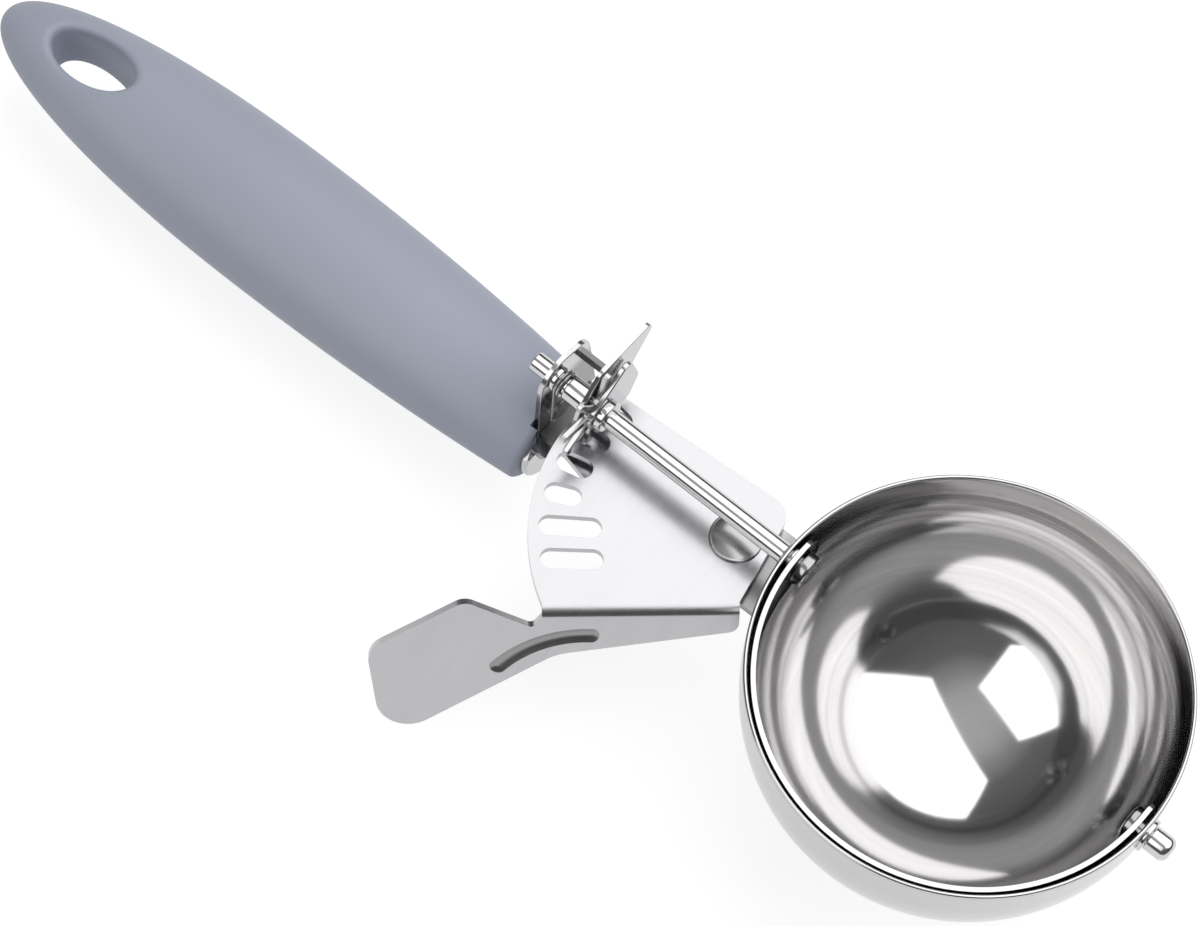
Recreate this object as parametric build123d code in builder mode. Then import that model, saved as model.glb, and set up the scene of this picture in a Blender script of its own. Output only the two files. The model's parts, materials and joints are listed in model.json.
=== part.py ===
from build123d import *
import os
from math import acos, cos, degrees, hypot, radians, sin, sqrt

# Lever ice cream scoop with a sweeping blade.
# Millimetres. The origin is the centre of the ball that the bowl shapes, on the axis
# of the spindle. +X runs from the handle to the bowl's far end, +Z out of the mouth.

os.makedirs("parts", exist_ok=True)

# Clearances
running_gap = 0.06  # radial, between a shaft and the hole it turns in
seat_gap = 0.02  # radial, between pieces that are pressed or welded together
axial_gap = 0.1  # between flat faces that slide over each other
sweep_gap = 0.35  # between the blade and the bowl
edge_break = 0.2  # rounding of stamped and turned edges
quarter_turn = 90
half_turn = 180

# Bowl: a drawn hemisphere with a short straight band up to the rim
bowl_inner_radius = 30.0
bowl_wall = 0.6
rim_height = 4.8
rim_round = 0.2
saddle_wall = 1.4
saddle_drop = 9.0
saddle_round = 0.35

# Bushes in the two poles of the bowl
bush_wall = 0.6
boss_wall = 1.0
near_boss_length = 0.6
far_boss_length = 0.5
spigot_proud = 0.25

# Blade: a strip bent to a half ring, with an eye at each end
blade_width = 8.5
blade_thickness = 0.7
blade_hub_radius = 3.2
blade_hub_length = 1.7
pin_radius = 1.25
pin_nose = 4.0
pin_head_round = 0.7
pin_nose_round = 0.9

# Spindle and the pieces stacked on it
spindle_radius = 1.5
spindle_nose_round = 0.4
spindle_overhang = 3.05
collar_radius = 1.95
collar_length = 0.8
sleeve_radius = 1.95
sleeve_length = 3.5
front_collar_radius = 2.5
front_collar_length = 1.25
cam_thickness = 0.7
cam_discs = (((0, 0), 2.9), ((4.7, 5.6), 1.5), ((5.9, 1.0), 1.8), ((4.9, -1.7), 1.6))

# Star pinion and the sector of slots that turns it
tooth_count = 8
gear_ratio = 4
rack_radius = 25.7
pinion_thickness = 0.9
pinion_play = 0.25
pinion_tip_radius = 7.8
pinion_gullet_radius = 2.9
tooth_tip_width = 1.2
tooth_root_width = 1.7
tooth_tip_round = 0.42
slot_width = 3.1
short_slot_length = 5.4
long_slot_length = 8.9
slot_end_gap = 1.45
slot_margin = 1.4
first_slot_angle = 3.2
last_slot_lean_angle = -9.0
short_slots = (-1, 0, 1, 2)
long_slots = (3, 4)
mesh_depth = 0.2
tip_gap = 0.7

# Thumb lever: a flat sector, a bend along its outer side and a paddle below it
lever_thickness = 1.2
lever_back_angle = 12.6
lever_corner = (3.3, 8.6)
lever_corner_round = 3.2
pivot_from_bowl = 8.7
fold_angle = 41.9
fold_distance = 9.7
bend_inner_radius = 0.7
bend_angle = 62.0
root_depth = 2.75
root_round = 1.5
neck_setback = 2.1
neck_depth = 6.5
neck_round = 8.0
paddle_length = 51.5
paddle_slant = 2.3
paddle_drop = 22.0
paddle_tip_round = 4.6
paddle_corner_drop = 5.35
paddle_corner_round = 3.6
paddle_heel = 10.7
paddle_rise = 3.0
paddle_heel_round = 2.4
notch_run = 1.3
notch_depth = 1.7
notch_round = 0.8
rib_start = (21.2, 3.2)
rib_middle = (27.0, 4.25)
rib_end = (33.8, 9.1)
rib_width = 2.4
rib_height = 0.5

# Pivot of the lever
rivet_radius = 2.0
rivet_head_radius = 3.85
rivet_head_height = 0.9
rivet_tail_radius = 3.0
washer_radius = 4.5

# Frame plate and the bracket that carries the spindle
frame_half_width = 6.4
frame_thickness = 1.4
frame_taper = 6.0
tang_half_width = 5.0
tang_depth = 45.0
step_setback = 4.6
step_run = 3.5
step_drop = 6.0
bracket_thickness = 0.8
leaf_thickness = 0.7
ear_spacing = 6.05
ear_discs = (((1.3, -1.8), 4.4), ((4.3, -1.6), 3.4))
ear_foot = (-3.2, 9.8)
leaf_discs = (((0, 0), 3.4), ((11.1, 6.0), 1.3), ((2.2, 5.6), 1.6), ((7.6, 1.3), 1.4))
bridge_y = 4.9
bridge_low = -0.9
bridge_high = 1.0
floor_sides = (-2.7, 6.0)
stud_y = 0.1
stud_drop = 8.7
stud_length = 1.45

# Return spring: two turns around the spindle, a straight leg and a hook on the bracket's stud
wire_radius = 0.22
coil_radius = 1.9
coil_turns = 2
coil_pitch = 0.5
hook_radius = 2.0
hook_angle = 300

# Handle and the plate on its front face
handle_length = 108.8
handle_overlap = 1.15
handle_front_length = 53.3
handle_half_height = 8.5
handle_front_half_height = 6.6
handle_width_ratio = 1.4
handle_drop = 16.8
handle_tilt_angle = 0.9
handle_edge_round = 0.8
recess_left = -3.9
bolster_half_width = 7.5
bolster_half_height = 6.6
bolster_thickness = 1.2
bolster_round = 0.4
hang_hole_length = 14.0
hang_hole_width = 6.4
hang_hole_from_tip = 18.95
hang_hole_round = 1.2

# Bowl and blade sizes that follow
bowl_outer_radius = bowl_inner_radius + bowl_wall
saddle_outer_radius = bowl_outer_radius + seat_gap + saddle_wall
spigot_radius = spindle_radius + running_gap + bush_wall
blade_outer_radius = sqrt((bowl_inner_radius - sweep_gap) ** 2 - (blade_width / 2) ** 2)
blade_inner_radius = blade_outer_radius - blade_thickness
hub_outer_x = sqrt(blade_inner_radius**2 - blade_hub_radius**2)
hub_inner_x = hub_outer_x - blade_hub_length

# Places along the spindle, from the lever's pivot back to the handle
pivot_x = -(bowl_outer_radius + pivot_from_bowl)
pinion_x = pivot_x - rack_radius
pinion_front = pinion_x + pinion_thickness / 2
pinion_back = pinion_x - pinion_thickness / 2
leaf_back = pinion_back - pinion_play - leaf_thickness
ear_front = leaf_back - ear_spacing
ear_back = ear_front - bracket_thickness
spindle_back = ear_back - spindle_overhang
handle_front = ear_back + handle_overlap
handle_tip = handle_front - handle_length
hang_hole_x = handle_tip + hang_hole_from_tip

# Heights of the stacked plates below the spindle
pinion_pitch_radius = rack_radius / gear_ratio
lever_top = -(pinion_pitch_radius - mesh_depth)
lever_bottom = lever_top - lever_thickness
frame_top = -(pinion_tip_radius + tip_gap)
frame_bottom = frame_top - frame_thickness
tang_top = frame_top - step_drop
washer_top = lever_bottom - axial_gap

# The slotted sector
tooth_pitch = 360 / tooth_count
slot_pitch = tooth_pitch / gear_ratio
slot_outer_radius = rack_radius + pinion_thickness / 2 + slot_end_gap
sector_radius = slot_outer_radius + slot_margin
fold_length = sqrt(sector_radius**2 - fold_distance**2)

# Directions of the fold: along it, away from the pivot, and down the paddle
along = Vector(-cos(radians(fold_angle)), -sin(radians(fold_angle)), 0)
outward = Vector(sin(radians(fold_angle)), -cos(radians(fold_angle)), 0)
up = Vector(0, 0, 1)
paddle_normal = outward * sin(radians(bend_angle)) + up * cos(radians(bend_angle))


def ring(start, end, radius, bore):
    """A plain ring on the spindle's axis between two stations."""
    with BuildPart() as body:
        with BuildSketch(Plane.YZ.offset(start)):
            Circle(radius)
            Circle(bore, mode=Mode.SUBTRACT)
        extrude(amount=end - start)
        rims = body.edges().filter_by(GeomType.CIRCLE)
        fillet(rims.group_by(SortBy.RADIUS)[-1], edge_break)
    return body


def hull_of(discs):
    """Circles whose common outline is a stamped lobe or ear."""
    for centre, radius in discs:
        CenterArc(centre, radius, 0, 360)


def finish(piece, name):
    """Label a finished piece and write it to its own file."""
    piece.part.label = name
    export_step(piece.part, f"parts/{name}.step")


# Bowl shell, turned about the vertical axis, with a hole in each pole
with BuildPart() as bowl_shell:
    with BuildSketch(Plane.XZ):
        with BuildLine():
            Line((0, -bowl_inner_radius), (0, -bowl_outer_radius))
            CenterArc((0, 0), bowl_outer_radius, -90, 90)
            Line((bowl_outer_radius, 0), (bowl_outer_radius, rim_height))
            Line((bowl_outer_radius, rim_height), (bowl_inner_radius, rim_height))
            Line((bowl_inner_radius, rim_height), (bowl_inner_radius, 0))
            CenterArc((0, 0), bowl_inner_radius, -90, 90)
        make_face()
    revolve(axis=Axis.Z)
    fillet(bowl_shell.edges().group_by(Axis.Z)[-1], rim_round)
    with BuildSketch(Plane.YZ):
        Circle(spigot_radius + seat_gap)
    extrude(amount=bowl_outer_radius, both=True, mode=Mode.SUBTRACT)
finish(bowl_shell, "bowl_shell")

# Saddle: a pad that follows the outside of the bowl and takes the end of the frame
with BuildPart() as bowl_saddle:
    Sphere(saddle_outer_radius)
    Sphere(bowl_outer_radius + seat_gap, mode=Mode.SUBTRACT)
    with BuildSketch(Plane.XY.offset(frame_top)):
        with Locations((-saddle_outer_radius / 2, 0)):
            Rectangle(saddle_outer_radius, 2 * frame_half_width)
    extrude(amount=-saddle_drop, mode=Mode.INTERSECT)
    fillet(bowl_saddle.edges().filter_by(Plane.XZ).group_by(Axis.Z)[0], saddle_round)
finish(bowl_saddle, "bowl_saddle")


def pole_bush(side, boss_length, shaft_radius):
    """A shouldered bush: boss outside the bowl, spigot through its wall."""
    with BuildPart() as body:
        with BuildSketch(Plane.YZ.offset(side * bowl_outer_radius)):
            Circle(spindle_radius + boss_wall)
        extrude(amount=side * boss_length)
        fillet(body.edges().sort_by(lambda rim: side * rim.center().X)[-1], edge_break)
        with BuildSketch(Plane.YZ.offset(side * (bowl_inner_radius - spigot_proud))):
            Circle(spigot_radius)
        extrude(amount=side * (bowl_wall + spigot_proud))
        with BuildSketch(Plane.YZ):
            Circle(shaft_radius + running_gap)
        extrude(amount=side * (bowl_outer_radius + boss_length), mode=Mode.SUBTRACT)
    return body


near_bowl_bush = pole_bush(-1, near_boss_length, spindle_radius)
finish(near_bowl_bush, "near_bowl_bush")
far_bowl_bush = pole_bush(1, far_boss_length, pin_radius)
finish(far_bowl_bush, "far_bowl_bush")

# Blade: half a ring below the mouth's edge, each end running on to a rounded eye
with BuildPart() as scraper_blade:
    with BuildSketch(Plane.XY.offset(-blade_width / 2)):
        Circle(blade_outer_radius)
        Circle(blade_inner_radius, mode=Mode.SUBTRACT)
        with Locations((0, -blade_outer_radius / 2)):
            Rectangle(2 * blade_outer_radius, blade_outer_radius, mode=Mode.INTERSECT)
        for side in (-1, 1):
            with Locations((side * (blade_inner_radius + blade_thickness / 2), blade_width / 4)):
                Rectangle(blade_thickness, blade_width / 2)
    extrude(amount=blade_width)
    eye_corners = scraper_blade.edges().filter_by(Axis.X).group_by(Axis.Y)[-1]
    fillet(eye_corners, blade_width / 2 - sweep_gap)
    for side, shaft_radius in ((-1, spindle_radius), (1, pin_radius)):
        with BuildSketch(Plane.YZ):
            Circle(shaft_radius + seat_gap)
        extrude(amount=side * blade_outer_radius, mode=Mode.SUBTRACT)
finish(scraper_blade, "scraper_blade")

near_blade_hub = ring(-hub_outer_x, -hub_inner_x, blade_hub_radius, spindle_radius + seat_gap)
finish(near_blade_hub, "near_blade_hub")

# Far pivot pin: head inside the bowl, shank through blade and bush, rounded nose outside
with BuildPart() as far_pivot_pin:
    with BuildSketch(Plane.YZ.offset(hub_inner_x)):
        Circle(blade_hub_radius)
    extrude(amount=blade_hub_length)
    fillet(far_pivot_pin.edges().group_by(Axis.X)[0], pin_head_round)
    with BuildSketch(Plane.YZ.offset(hub_outer_x)):
        Circle(pin_radius)
    extrude(amount=bowl_outer_radius - hub_outer_x + pin_nose)
    fillet(far_pivot_pin.edges().group_by(Axis.X)[-1], pin_nose_round)
finish(far_pivot_pin, "far_pivot_pin")

# Spindle: one straight rod from behind the rear ear to the near hub in the bowl
with BuildPart() as spindle:
    with BuildSketch(Plane.YZ.offset(spindle_back)):
        Circle(spindle_radius)
    extrude(amount=-hub_inner_x - spindle_back)
    chamfer(spindle.edges().group_by(Axis.X)[0], spindle_nose_round / 2)
    fillet(spindle.edges().group_by(Axis.X)[-1], spindle_nose_round)
finish(spindle, "spindle")

# Collar and sleeve between the two ears, with the turns of the return spring between them
fixed_bore = spindle_radius + seat_gap
collar_back = ear_front + axial_gap
collar_front = collar_back + collar_length
rear_collar = ring(collar_back, collar_front, collar_radius, fixed_bore)
finish(rear_collar, "rear_collar")
sleeve_front = leaf_back - axial_gap
spindle_sleeve = ring(sleeve_front - sleeve_length, sleeve_front, sleeve_radius, fixed_bore)
finish(spindle_sleeve, "spindle_sleeve")

# Star pinion: one tooth drawn and repeated; at rest a tooth stands in the first slot
rest_tooth_angle = -90 - gear_ratio * first_slot_angle
tip_limit = (pinion_gullet_radius + pinion_tip_radius) / 2
with BuildPart() as star_pinion:
    with BuildSketch(Plane.YZ.offset(pinion_back)):
        Circle(pinion_gullet_radius)
        with PolarLocations(0, tooth_count, start_angle=rest_tooth_angle):
            Polygon(
                (0, -tooth_root_width / 2),
                (pinion_tip_radius, -tooth_tip_width / 2),
                (pinion_tip_radius, tooth_tip_width / 2),
                (0, tooth_root_width / 2),
                align=None,
            )
        Circle(fixed_bore, mode=Mode.SUBTRACT)
    extrude(amount=pinion_thickness)
    edges_along = star_pinion.edges().filter_by(Axis.X)
    tips = [edge for edge in edges_along if hypot(edge.center().Y, edge.center().Z) > tip_limit]
    fillet(tips, tooth_tip_round)
finish(star_pinion, "star_pinion")

# Stop cam in front of the pinion: a hub with one broad lobe
with BuildPart() as stop_cam:
    with BuildSketch(Plane.YZ.offset(pinion_front)):
        with BuildLine():
            hull_of(cam_discs)
        make_hull()
    extrude(amount=cam_thickness)
    fillet(stop_cam.edges().group_by(Axis.X)[-1], edge_break)
    with BuildSketch(Plane.YZ.offset(pinion_front)):
        Circle(fixed_bore)
    extrude(amount=cam_thickness, mode=Mode.SUBTRACT)
finish(stop_cam, "stop_cam")

cam_front = pinion_front + cam_thickness
collar_end = cam_front + front_collar_length
front_collar = ring(cam_front, collar_end, front_collar_radius, fixed_bore)
finish(front_collar, "front_collar")

# Spindle bracket: an ear on a short floor, a stud for the spring, a bridge and a leaf
step_back = pinion_x - step_setback
with BuildPart() as spindle_bracket:
    with BuildSketch(Plane.YZ.offset(ear_back)):
        with BuildLine():
            hull_of(ear_discs)
            Line((ear_foot[0], tang_top), (ear_foot[1], tang_top))
        make_hull()
    extrude(amount=bracket_thickness)
    rims = spindle_bracket.edges().group_by(Axis.X)[-1]
    fillet([rim for rim in rims if rim.center().Z > tang_top + bracket_thickness], edge_break)
    with BuildSketch(Plane.XY.offset(tang_top)):
        with Locations(((ear_front + step_back) / 2, sum(floor_sides) / 2)):
            Rectangle(step_back - ear_front, floor_sides[1] - floor_sides[0])
    extrude(amount=bracket_thickness)
    with BuildSketch(Plane.YZ.offset(ear_front)):
        with Locations((stud_y, -stud_drop)):
            Circle(hook_radius - wire_radius - seat_gap)
    extrude(amount=stud_length)
    with BuildSketch(Plane.YZ.offset(leaf_back)):
        with BuildLine():
            hull_of(leaf_discs)
        make_hull()
    extrude(amount=leaf_thickness)
    fillet(spindle_bracket.edges().group_by(Axis.X)[-1], edge_break)
    with BuildSketch(Plane.YZ.offset(ear_front)):
        with Locations((bridge_y + bracket_thickness / 2, (bridge_low + bridge_high) / 2)):
            Rectangle(bracket_thickness, bridge_high - bridge_low)
    extrude(amount=ear_spacing)
    with BuildSketch(Plane.YZ.offset(ear_back)):
        Circle(spindle_radius + running_gap)
    extrude(amount=ear_spacing + bracket_thickness + leaf_thickness, mode=Mode.SUBTRACT)
finish(spindle_bracket, "spindle_bracket")

# Return spring: turns, leg and hook in one run of wire
spring_back = collar_front + axial_gap + wire_radius
with BuildPart() as return_spring:
    with BuildLine(Plane.YZ.offset(spring_back)) as leg_path:
        CenterArc((stud_y, -stud_drop), hook_radius, half_turn, hook_angle)
        Line((-coil_radius, 0), (stud_y - hook_radius, -stud_drop))
    with BuildSketch(Plane((spring_back, -coil_radius, 0), z_dir=(0, 0, -1))):
        Circle(wire_radius)
    sweep(path=leg_path.wires()[0])
    turns = Helix(
        pitch=coil_pitch,
        height=coil_pitch * coil_turns,
        radius=coil_radius,
        center=(spring_back, 0, 0),
        direction=(1, 0, 0),
        lefthand=True,
    ).rotate(Axis.X, quarter_turn)
    with BuildSketch(Plane(turns @ 0, z_dir=turns % 0)):
        Circle(wire_radius)
    sweep(path=turns)
    with Locations(turns @ 0):
        Sphere(wire_radius)
finish(return_spring, "return_spring")

# Frame plate: flat under the lever, stepped down to the tang inside the handle
step_front = step_back + step_run
tang_end = handle_front - tang_depth
with BuildPart() as frame_plate:
    with BuildSketch(Plane.XZ):
        Polygon(
            (-bowl_inner_radius / 2, frame_top),
            (step_front, frame_top),
            (step_back, tang_top),
            (tang_end, tang_top),
            (tang_end, tang_top - frame_thickness),
            (step_back - frame_thickness / 2, tang_top - frame_thickness),
            (step_front - frame_thickness / 2, frame_bottom),
            (-bowl_inner_radius / 2, frame_bottom),
            align=None,
        )
    extrude(amount=frame_half_width, both=True)
    Sphere(saddle_outer_radius + seat_gap, mode=Mode.SUBTRACT)
    for side in (-1, 1):
        with BuildSketch(Plane.XY):
            Polygon(
                (step_front + frame_taper, side * frame_half_width),
                (step_front, side * tang_half_width),
                (tang_end, side * tang_half_width),
                (tang_end, side * 2 * frame_half_width),
                (step_front + frame_taper, side * 2 * frame_half_width),
                align=None,
            )
        extrude(amount=tang_top - frame_thickness, mode=Mode.SUBTRACT)
    with BuildSketch(Plane.XY.offset(frame_top)):
        with Locations((pivot_x, 0)):
            Circle(rivet_radius + seat_gap)
    extrude(amount=-frame_thickness, mode=Mode.SUBTRACT)
finish(frame_plate, "frame_plate")

# Pivot washer and rivet
with BuildPart() as pivot_washer:
    with BuildSketch(Plane.XY.offset(frame_top)):
        with Locations((pivot_x, 0)):
            Circle(washer_radius)
            Circle(rivet_radius + seat_gap, mode=Mode.SUBTRACT)
    extrude(amount=washer_top - frame_top)
finish(pivot_washer, "pivot_washer")

head_bottom = lever_top + axial_gap
dome_radius = (rivet_head_radius**2 + rivet_head_height**2) / (2 * rivet_head_height)
with BuildPart() as pivot_rivet:
    with BuildSketch(Plane.XZ):
        with BuildLine():
            Line((pivot_x, head_bottom), (pivot_x + rivet_head_radius, head_bottom))
            RadiusArc(
                (pivot_x + rivet_head_radius, head_bottom),
                (pivot_x, head_bottom + rivet_head_height),
                -dome_radius,
            )
            Line((pivot_x, head_bottom + rivet_head_height), (pivot_x, head_bottom))
        make_face()
    revolve(axis=Axis((pivot_x, 0, 0), (0, 0, 1)))
    with BuildSketch(Plane.XY.offset(head_bottom)):
        with Locations((pivot_x, 0)):
            Circle(rivet_radius)
    extrude(amount=frame_bottom - head_bottom)
    with BuildSketch(Plane.XY.offset(frame_bottom)):
        with Locations((pivot_x, 0)):
            Circle(rivet_tail_radius)
    extrude(amount=-rivet_head_height)
    fillet(pivot_rivet.edges().group_by(Axis.Z)[0], rivet_head_height / 2)
finish(pivot_rivet, "pivot_rivet")

# Thumb lever: slotted sector, bend and paddle in one sheet
pivot_plane = Plane(origin=(pivot_x, 0, lever_bottom), x_dir=(1, 0, 0), z_dir=(0, 0, 1))
fold_right = outward * fold_distance
fold_left = fold_right + along * fold_length
sector_start = degrees(acos(-fold_left.X / sector_radius))
back_corner = (
    -sector_radius * cos(radians(lever_back_angle)),
    sector_radius * sin(radians(lever_back_angle)),
)
bend_centre = Vector(pivot_x, 0, lever_bottom - bend_inner_radius) + fold_right
with BuildPart() as thumb_lever:
    with BuildSketch(pivot_plane):
        with BuildLine():
            Line((fold_right.X, fold_right.Y), (fold_left.X, fold_left.Y))
            CenterArc(
                (0, 0),
                sector_radius,
                half_turn + sector_start,
                -sector_start - lever_back_angle,
            )
            Polyline(back_corner, lever_corner, (fold_right.X, fold_right.Y))
        make_face()
        for group, length in ((short_slots, short_slot_length), (long_slots, long_slot_length)):
            for index in group:
                angle = half_turn + first_slot_angle + index * slot_pitch
                lean = last_slot_lean_angle if index == long_slots[-1] else 0
                on_rack = (rack_radius * cos(radians(angle)), rack_radius * sin(radians(angle)))
                with Locations(Location((*on_rack, 0), (0, 0, angle + lean))):
                    with Locations((slot_outer_radius - rack_radius - length / 2, 0)):
                        SlotOverall(length, slot_width, mode=Mode.SUBTRACT)
        Circle(rivet_radius + running_gap, mode=Mode.SUBTRACT)
    extrude(amount=lever_thickness)
    corner_edge = thumb_lever.edges().filter_by(Axis.Z).sort_by(Axis.Y)[-1]
    fillet(corner_edge, lever_corner_round)
    bend_face_plane = Plane(
        origin=Vector(pivot_x, 0, lever_bottom) + fold_right, x_dir=along, z_dir=outward
    )
    with BuildSketch(bend_face_plane):
        with Locations((fold_length / 2, -lever_thickness / 2)):
            Rectangle(fold_length, lever_thickness)
    revolve(axis=Axis(bend_centre, -along), revolution_arc=bend_angle)
    paddle_plane = Plane(
        origin=bend_centre + paddle_normal * bend_inner_radius, x_dir=along, z_dir=paddle_normal
    )
    with BuildSketch(paddle_plane):
        with BuildLine():
            FilletPolyline(
                (0, 0),
                (0, root_depth),
                (fold_length - neck_setback, neck_depth),
                (paddle_length - paddle_slant, paddle_drop),
                (paddle_length, paddle_corner_drop),
                (fold_length + paddle_heel, -paddle_rise),
                (fold_length + notch_run, notch_depth),
                (fold_length, 0),
                radius=[
                    root_round,
                    neck_round,
                    paddle_tip_round,
                    paddle_corner_round,
                    paddle_heel_round,
                    notch_round,
                ],
            )
            Line((fold_length, 0), (0, 0))
        make_face()
    extrude(amount=lever_thickness)
    with BuildSketch(paddle_plane.offset(lever_thickness)):
        with BuildLine():
            ThreePointArc(rib_start, rib_middle, rib_end)
        trace(line_width=rib_width)
    extrude(amount=rib_height)
finish(thumb_lever, "thumb_lever")


# Handle: an oval bar turned about its own tilted axis, then widened
tilt_cos = cos(radians(handle_tilt_angle))
tilt_sin = sin(radians(handle_tilt_angle))
handle_origin = Vector(handle_front, 0, -handle_drop)
handle_way = Vector(-tilt_cos, 0, -tilt_sin)
handle_profile_plane = Plane(handle_origin, x_dir=handle_way, z_dir=(-tilt_sin, 0, tilt_cos))
handle_face_plane = Plane(handle_origin, x_dir=(0, 1, 0), z_dir=-handle_way)
with BuildPart() as handle_grip:
    with BuildSketch(handle_profile_plane):
        with BuildLine():
            Line((0, 0), (0, handle_front_half_height))
            TangentArc(
                (handle_front_length, handle_half_height),
                (0, handle_front_half_height),
                tangent=(-1, 0),
            )
            EllipticalCenterArc(
                (handle_front_length, 0),
                handle_length - handle_front_length,
                handle_half_height,
                start_angle=0,
                arc_size=quarter_turn,
            )
            Line((0, 0), (handle_length, 0))
        make_face()
    revolve(axis=Axis(handle_origin, handle_way))
    scale(by=(1, handle_width_ratio, 1))
    fillet(handle_grip.edges().group_by(Axis.X)[-1], handle_edge_round)
    with BuildSketch(Plane.XY.offset(-handle_drop)):
        with Locations((hang_hole_x, 0)):
            SlotOverall(hang_hole_length, hang_hole_width)
    extrude(amount=2 * handle_half_height, both=True, mode=Mode.SUBTRACT)
    hole_rims = handle_grip.edges().filter_by_position(
        Axis.X,
        hang_hole_x - hang_hole_length / 2 - seat_gap,
        hang_hole_x + hang_hole_length / 2 + seat_gap,
    )
    fillet([rim for rim in hole_rims if rim.geom_type != GeomType.LINE], hang_hole_round)
    with BuildSketch(Plane.YZ.offset(handle_front + handle_edge_round)):
        with Locations((0, tang_top - frame_thickness / 2)):
            Rectangle(2 * tang_half_width + axial_gap, frame_thickness + axial_gap)
    extrude(amount=-tang_depth - handle_edge_round - axial_gap, mode=Mode.SUBTRACT)
    recess_bottom = tang_top - axial_gap / 2
    with BuildSketch(Plane.YZ.offset(handle_front + handle_edge_round)):
        Polygon(
            (recess_left, recess_bottom),
            (2 * handle_half_height, recess_bottom),
            (2 * handle_half_height, 0),
            (recess_left, 0),
            align=None,
        )
    extrude(amount=-handle_overlap - handle_edge_round - axial_gap, mode=Mode.SUBTRACT)
finish(handle_grip, "handle_grip")

# Bolster plate on the front face of the handle, open at the top for the tang
slot_bottom = tang_top - frame_thickness - axial_gap / 2
with BuildPart() as bolster_plate:
    with BuildSketch(handle_face_plane):
        Ellipse(bolster_half_width, bolster_half_height)
    extrude(amount=bolster_thickness)
    fillet(bolster_plate.edges().group_by(Axis.X)[-1], bolster_round)
    slot_half_width = tang_half_width + axial_gap / 2
    with BuildSketch(Plane.YZ.offset(handle_front)):
        Polygon(
            (-bolster_half_width, 0),
            (-bolster_half_width, recess_bottom),
            (-slot_half_width, recess_bottom),
            (-slot_half_width, slot_bottom),
            (slot_half_width, slot_bottom),
            (slot_half_width, recess_bottom),
            (bolster_half_width, recess_bottom),
            (bolster_half_width, 0),
            align=None,
        )
    extrude(amount=2 * bolster_thickness, both=True, mode=Mode.SUBTRACT)
finish(bolster_plate, "bolster_plate")
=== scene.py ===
import json
from math import pi

import bmesh
import bpy
import numpy as np
from mathutils import Matrix, Vector


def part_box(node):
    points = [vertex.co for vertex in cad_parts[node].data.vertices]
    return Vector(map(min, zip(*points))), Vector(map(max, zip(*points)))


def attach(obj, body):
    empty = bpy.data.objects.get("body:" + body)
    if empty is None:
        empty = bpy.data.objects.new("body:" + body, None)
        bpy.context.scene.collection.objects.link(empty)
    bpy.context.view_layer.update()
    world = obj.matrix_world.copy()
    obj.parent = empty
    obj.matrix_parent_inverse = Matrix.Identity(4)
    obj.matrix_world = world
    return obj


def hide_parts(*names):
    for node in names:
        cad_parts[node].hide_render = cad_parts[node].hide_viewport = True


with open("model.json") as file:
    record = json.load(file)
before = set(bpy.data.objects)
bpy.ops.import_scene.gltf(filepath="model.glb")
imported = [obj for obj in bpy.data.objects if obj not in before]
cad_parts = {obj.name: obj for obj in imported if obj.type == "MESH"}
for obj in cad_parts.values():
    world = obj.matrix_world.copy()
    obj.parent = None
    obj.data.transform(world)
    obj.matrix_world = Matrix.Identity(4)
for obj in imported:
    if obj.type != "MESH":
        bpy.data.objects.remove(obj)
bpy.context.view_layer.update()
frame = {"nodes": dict(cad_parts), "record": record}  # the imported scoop: three bodies, frame, lever and spindle
mm = 0.001  # sizes are in millimetres and turns in degrees, unless a note says otherwise
bodyOf = {node: body for body, nodes in frame["record"]["behaviour"]["bodies"].items() for node in nodes}
slotOf = {entry["node"]: entry["material_slot"] for entry in frame["record"]["subparts"]}
print("frame loaded:", len(frame["nodes"]), "nodes")

view = {
    "place": (0.0622, -0.1887, 0.4553),  # metres
    "towards": (-0.2404, 0.3612, -0.9010),
    "roll": 6.973,
    "lens": 109.62,
    "sensor": 36.0,
    "nearest": 0.01,  # metres
}


def setCamera(settings):  # level about its line of sight, then turned about that line by roll
    forward = Vector(settings["towards"]).normalized()
    level = forward.cross(Vector((0, 0, 1))).normalized()
    above = level.cross(forward)
    roll = settings["roll"] * pi / 180
    right = level * np.cos(roll) + above * np.sin(roll)
    top = above * np.cos(roll) - level * np.sin(roll)
    lens = bpy.data.cameras.new("studioCamera")
    lens.lens = settings["lens"]
    lens.sensor_width = settings["sensor"]
    lens.sensor_fit = "HORIZONTAL"
    lens.clip_start = settings["nearest"]
    camera = bpy.data.objects.new("studioCamera", lens)
    turn = Matrix((right, top, -forward)).transposed()
    camera.matrix_world = Matrix.Translation(settings["place"]) @ turn.to_4x4()
    bpy.context.scene.collection.objects.link(camera)
    bpy.context.scene.camera = camera


setCamera(view)
print("camera placed")


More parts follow.
